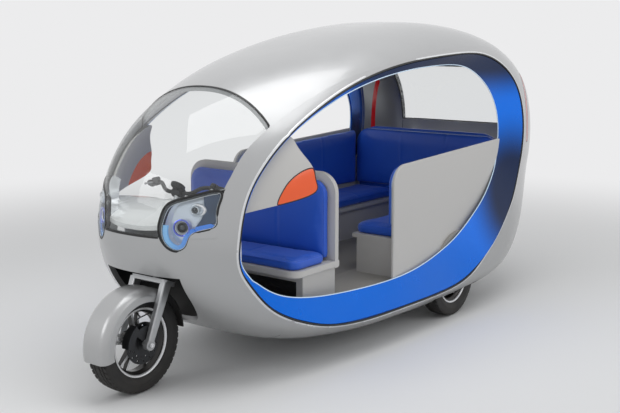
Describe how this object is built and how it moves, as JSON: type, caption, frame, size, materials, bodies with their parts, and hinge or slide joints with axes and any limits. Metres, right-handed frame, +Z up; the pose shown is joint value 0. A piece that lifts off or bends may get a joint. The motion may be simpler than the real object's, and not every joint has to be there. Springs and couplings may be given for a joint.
{
  "type": "three wheeled passenger car",
  "caption": "Egg-shaped open-sided three wheeled passenger car with one steered front wheel, a bench for the driver and side benches behind.",
  "frame": {"origin": "on the ground under the middle of the vehicle's bounding box", "axes": "-Y forward to the nose, +X to the vehicle's left, +Z up"},
  "size_m": [1.4506, 3.8046, 1.9236],
  "materials": {
    "body_paint": "satin",
    "clear_glazing": "clear",
    "blue_paint": "gloss",
    "inner_panel": "matte",
    "upholstery": "matte",
    "dark_plastic": "matte",
    "lamp_clear": "clear",
    "lamp_red": "gloss",
    "lamp_amber": "gloss",
    "tyre_rubber": "matte",
    "rim_alloy": "satin",
    "fork_metal": "satin",
    "frame_steel": "satin",
    "battery_case": "matte",
    "floor_mat": "matte",
    "lamp_housing": "gloss"
  },
  "bodies": {
    "body": {"front_body": "body_paint", "windscreen": "clear_glazing", "roof_panel": "body_paint", "rear_window": "clear_glazing", "tail_panel": "body_paint", "belly_panel": "body_paint", "side_hoop_left": "body_paint", "side_hoop_right": "body_paint", "headlamp_left": "lamp_clear", "headlamp_right": "lamp_clear", "tail_lamp_left": "lamp_red", "tail_lamp_right": "lamp_red", "reveal_left": "blue_paint", "reveal_right": "blue_paint", "wheel_well_liner": "dark_plastic", "floor_pan": "floor_mat", "rear_bulkhead": "upholstery", "side_panel_left": "inner_panel", "side_panel_right": "inner_panel", "bench_left": "inner_panel", "bench_right": "inner_panel", "bench_cushion_left": "upholstery", "bench_cushion_right": "upholstery", "driver_seat_shell": "inner_panel", "driver_cushion": "upholstery", "driver_backrest": "upholstery", "dashboard": "body_paint", "wing_panel_left": "inner_panel", "wing_panel_right": "inner_panel", "indicator_left": "lamp_amber", "indicator_right": "lamp_amber", "chassis_frame": "frame_steel", "battery_pack": "battery_case", "rear_axle": "frame_steel", "steering_head": "frame_steel", "lamp_unit_left": "lamp_housing", "lamp_unit_right": "lamp_housing"},
    "steering": {"fork": "fork_metal", "front_fender": "body_paint", "mud_flap": "dark_plastic", "handlebar": "frame_steel", "brake_caliper": "fork_metal"},
    "front_wheel": {"front_tyre": "tyre_rubber", "front_rim": "rim_alloy"},
    "rear_wheel_left": {"rear_tyre_left": "tyre_rubber", "rear_rim_left": "rim_alloy"},
    "rear_wheel_right": {"rear_tyre_right": "tyre_rubber", "rear_rim_right": "rim_alloy"}
  },
  "joints": [
    {"name": "steering_turn", "type": "hinge", "parent": "body", "child": "steering", "pos_m": [0, -1.571, 0.27], "axis": [0, 0.3907, 0.9205], "range_deg": [-38, 38]},
    {"name": "front_wheel_spin", "type": "hinge", "parent": "steering", "child": "front_wheel", "pos_m": [0, -1.606, 0.27], "axis": [1, 0, 0], "continuous": true},
    {"name": "rear_wheel_left_spin", "type": "hinge", "parent": "body", "child": "rear_wheel_left", "pos_m": [0.582, 0.659, 0.27], "axis": [1, 0, 0], "continuous": true},
    {"name": "rear_wheel_right_spin", "type": "hinge", "parent": "body", "child": "rear_wheel_right", "pos_m": [-0.582, 0.659, 0.27], "axis": [1, 0, 0], "continuous": true}
  ]
}
